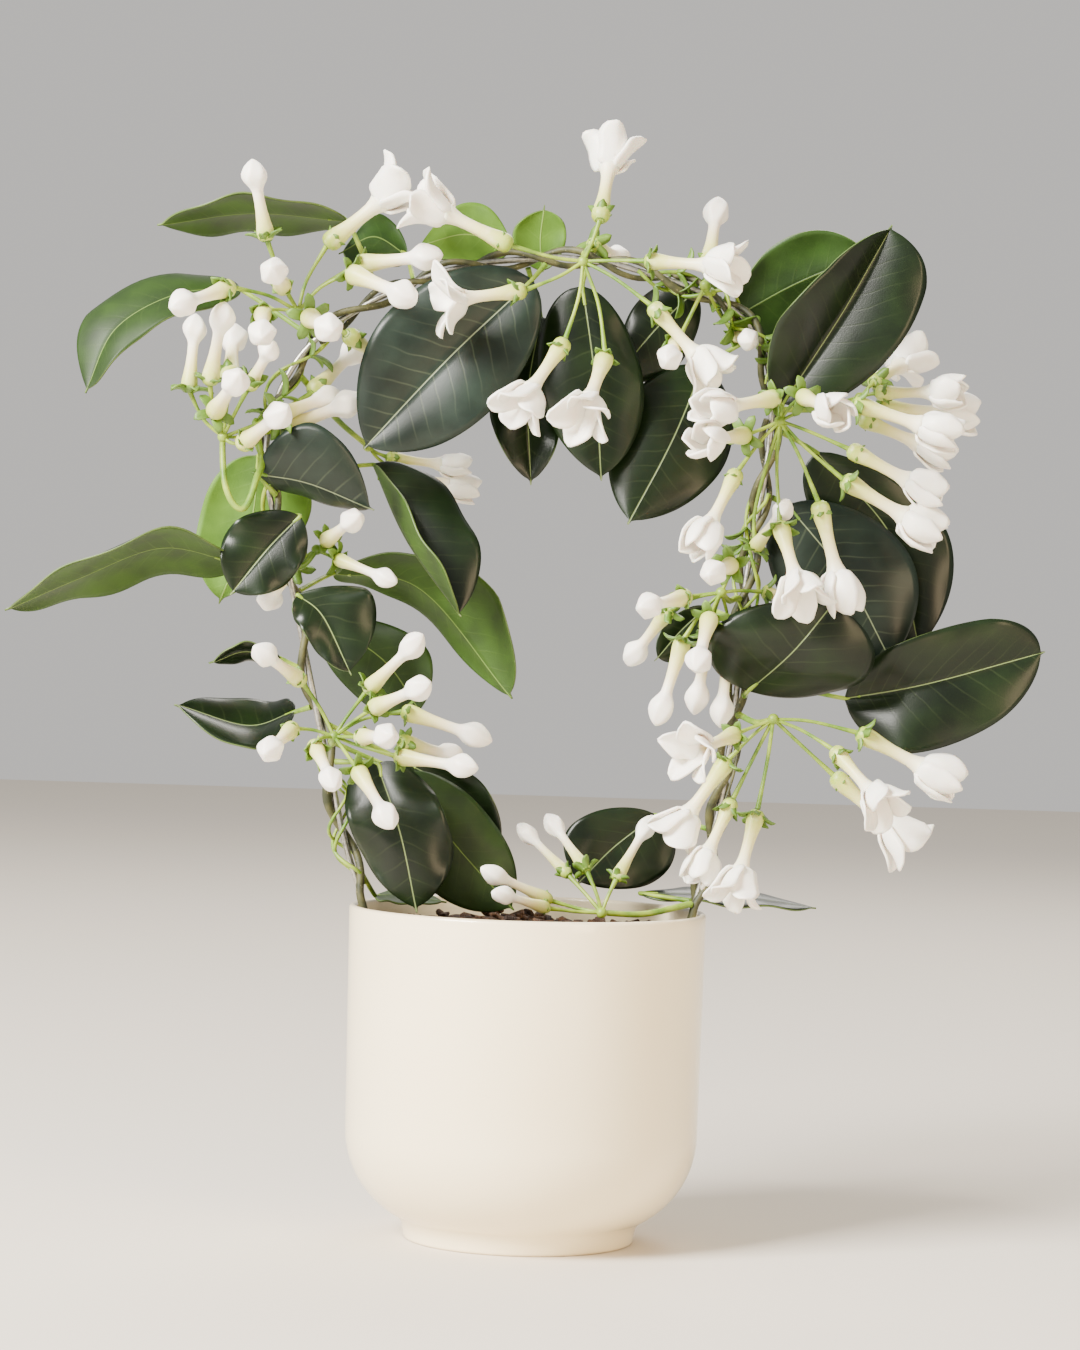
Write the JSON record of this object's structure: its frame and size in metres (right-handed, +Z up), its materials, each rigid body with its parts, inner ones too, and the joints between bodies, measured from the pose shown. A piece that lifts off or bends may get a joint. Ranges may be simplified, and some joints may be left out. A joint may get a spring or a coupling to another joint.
{
  "type": "madagascar jasmine plant",
  "caption": "Flowering vine trained round a wire hoop in a ceramic pot, with glossy leaves and clusters of waxy white tubular flowers.",
  "frame": {"origin": "centre of the pot's underside, on the table", "axes": "+Z up; +Y away from the viewer of the flowered side; +X to that viewer's right"},
  "size_m": [0.4013, 0.1461, 0.4392],
  "materials": {
    "glaze": "cream-white satin glaze",
    "potting_mix": "dark bark and peat",
    "wire": "dull silver wire",
    "vine": "olive-brown young bark",
    "leaf": "glossy dark green",
    "leaf_underside": "matte olive green",
    "flower": "waxy white"
  },
  "bodies": {
    "root": {"leaf_behind_right": "leaf", "leaf_below_centre": "leaf", "leaf_centre_top": "leaf", "leaf_folded_centre": "leaf", "leaf_folded_long": "leaf", "leaf_left_arching": "leaf", "leaf_left_dark": "leaf", "leaf_left_grey": "leaf", "leaf_left_inner": "leaf", "leaf_left_inner_back": "leaf", "leaf_left_long": "leaf_underside", "leaf_left_narrow": "leaf", "leaf_left_pale": "leaf_underside", "leaf_left_small": "leaf", "leaf_low_centre": "leaf_underside", "leaf_low_left_back": "leaf", "leaf_low_left_bright": "leaf", "leaf_low_left_front": "leaf", "leaf_low_round": "leaf", "leaf_on_rim_left": "leaf_underside", "leaf_on_rim_right": "leaf", "leaf_right_centre": "leaf", "leaf_right_dark": "leaf", "leaf_right_grey": "leaf", "leaf_right_long": "leaf", "leaf_right_round": "leaf", "leaf_right_small": "leaf", "leaf_top_left": "leaf_underside", "leaf_top_pale": "leaf_underside", "leaf_top_right": "leaf", "leaf_top_right_back": "leaf_underside", "leaf_top_round": "leaf_underside", "leaf_top_small": "leaf_underside", "pot": "glaze", "soil": "potting_mix", "stem_left": "vine", "stem_right": "vine", "stem_right_short": "vine", "umbel_behind": "flower", "umbel_left": "flower", "umbel_left_back": "flower", "umbel_low_left": "flower", "umbel_low_right": "flower", "umbel_on_soil": "flower", "umbel_right": "flower", "umbel_right_back": "flower", "umbel_right_middle": "flower", "umbel_top": "flower", "umbel_top_left": "flower", "umbel_top_right": "flower", "wire_hoop": "wire"}
  },
  "joints": []
}
